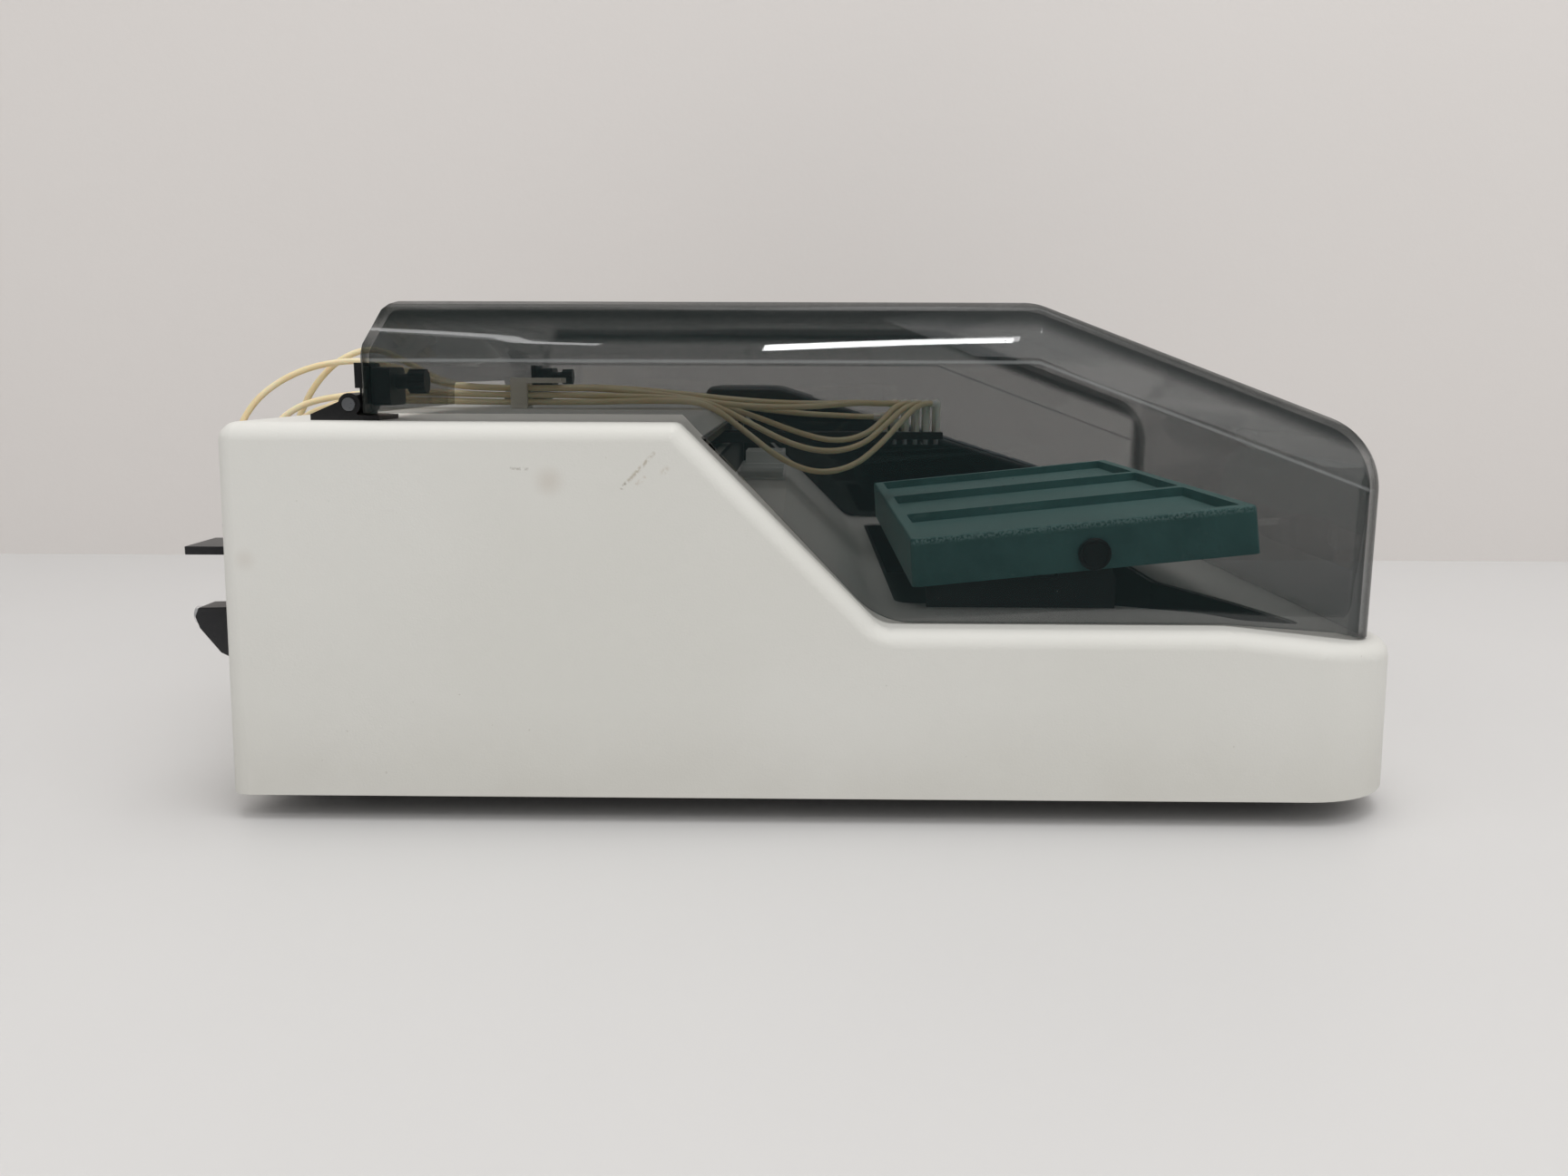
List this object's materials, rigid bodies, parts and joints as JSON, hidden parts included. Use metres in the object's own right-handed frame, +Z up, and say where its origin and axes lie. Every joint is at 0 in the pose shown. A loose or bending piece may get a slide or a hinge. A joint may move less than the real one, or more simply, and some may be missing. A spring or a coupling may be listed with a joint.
{
  "type": "blot strip processor",
  "caption": "Bench blot strip processor: smoked hinged lid over a rocking tray platform, with a sliding dispensing head fed by soft tubes.",
  "frame": {"origin": "on the bench, under the middle of the instrument's outline", "axes": "+X towards the low front end, +Y towards the console side, +Z up"},
  "size_m": [0.4985, 0.48, 0.195],
  "materials": {
    "housing": "fine satin moulding",
    "liner": "satin black",
    "base": "dark grey",
    "feet": "matt",
    "steel": "turned",
    "trough": "pale",
    "lid": "smoked clear acrylic",
    "hinge": "satin black",
    "platform": "dark green",
    "black": "satin black",
    "brass": "turned",
    "gear": "natural acetal",
    "motor": "black painted can",
    "carriage": "anodised",
    "fittings": "natural polymer",
    "rubber": "matt",
    "pump": "moulded",
    "metal_case": "zinc plated",
    "console": "dark blue black",
    "display": "dark window",
    "keypad": "membrane",
    "chrome": "polished",
    "clip": "translucent",
    "tube": "soft cream silicone"
  },
  "bodies": {
    "base": {"housing": "housing", "drip_liner": "liner", "slot_panel": "liner", "base_pan": "base", "rod_brackets": "base", "control_board": "base", "feet": "feet", "pan_screws": "steel", "hinge_pins": "steel", "guide_rods": "steel", "priming_trough": "trough", "hinge_bases": "hinge", "pivot_bracket_near": "black", "pivot_bracket_far": "black", "tube_ports": "black", "rear_shelf": "black", "rear_bracket": "black", "mains_inlet": "black", "fuse_drawer": "black", "pivot_bushes": "brass", "rocker_motor": "motor", "head_motor": "motor", "pump_motor": "motor", "drive_belt": "rubber", "rear_grommet": "rubber", "pump_body": "pump", "power_supply": "metal_case", "console_cover": "console", "display_window": "display", "keypad": "keypad", "rear_stud": "chrome", "tube_clip": "clip", "tube_1": "tube", "tube_2": "tube", "tube_3": "tube", "tube_4": "tube", "tube_5": "tube", "tube_6": "tube"},
    "lid": {"lid_shell": "lid", "hinge_leaves": "hinge", "hinge_clamps": "hinge", "hinge_knobs": "hinge"},
    "rocker": {"platform": "platform", "axle": "steel", "pivot_caps": "black", "sector_gear": "gear"},
    "rocker_pinion": {"pinion": "brass"},
    "head": {"head_carriage": "carriage", "head_arm": "black", "manifold_bar": "black", "suction_fitting": "fittings", "nozzle_barrels": "fittings", "nozzle_tips": "steel"},
    "driving_pulley": {"drive_pulley": "carriage"},
    "idling_pulley": {"idler_pulley": "carriage"},
    "pump_wheel": {"pump_rotor": "carriage", "pump_rollers": "fittings"},
    "mains_switch": {"power_switch": "black"}
  },
  "joints": [
    {"name": "lid_hinge", "type": "hinge", "parent": "base", "child": "lid", "pos_m": [-0.1705, 0, 0.1565], "axis": [0, -1, 0], "range_deg": [0, 65]},
    {"name": "platform_rock", "type": "hinge", "parent": "base", "child": "rocker", "pos_m": [0.118, 0, 0.0978], "axis": [0, -1, 0], "range_deg": [-14, 2]},
    {"name": "pinion_spin", "type": "hinge", "parent": "base", "child": "rocker_pinion", "pos_m": [0.118, 0, 0.0618], "axis": [0, -1, 0], "range_deg": [-10, 52]},
    {"name": "head_slide", "type": "slide", "parent": "base", "child": "head", "axis": [0, 1, 0], "range_m": [-0.165, 0.075], "deforming": ["tube_1", "tube_2", "tube_3", "tube_4", "tube_5", "tube_6"]},
    {"name": "drive_pulley_spin", "type": "hinge", "parent": "base", "child": "driving_pulley", "pos_m": [-0.083, 0.084, 0.104], "axis": [0, 0, 1], "range_deg": [-1100, 520]},
    {"name": "idler_pulley_spin", "type": "hinge", "parent": "base", "child": "idling_pulley", "pos_m": [-0.083, -0.206, 0.104], "axis": [0, 0, 1], "range_deg": [-1100, 520]},
    {"name": "pump_spin", "type": "hinge", "parent": "base", "child": "pump_wheel", "pos_m": [-0.165, -0.15, 0.06], "axis": [0, 1, 0], "continuous": true},
    {"name": "mains_switch_rock", "type": "hinge", "parent": "base", "child": "mains_switch", "pos_m": [-0.211, 0.1675, 0.048], "axis": [0, 1, 0], "range_deg": [-12, 0]}
  ],
  "couplings": [
    {"joint": "pinion_spin", "follows": "platform_rock", "ratio": -3.5},
    {"joint": "drive_pulley_spin", "follows": "head_slide", "rad_per_m": 113.64},
    {"joint": "idler_pulley_spin", "follows": "head_slide", "rad_per_m": 113.64}
  ]
}
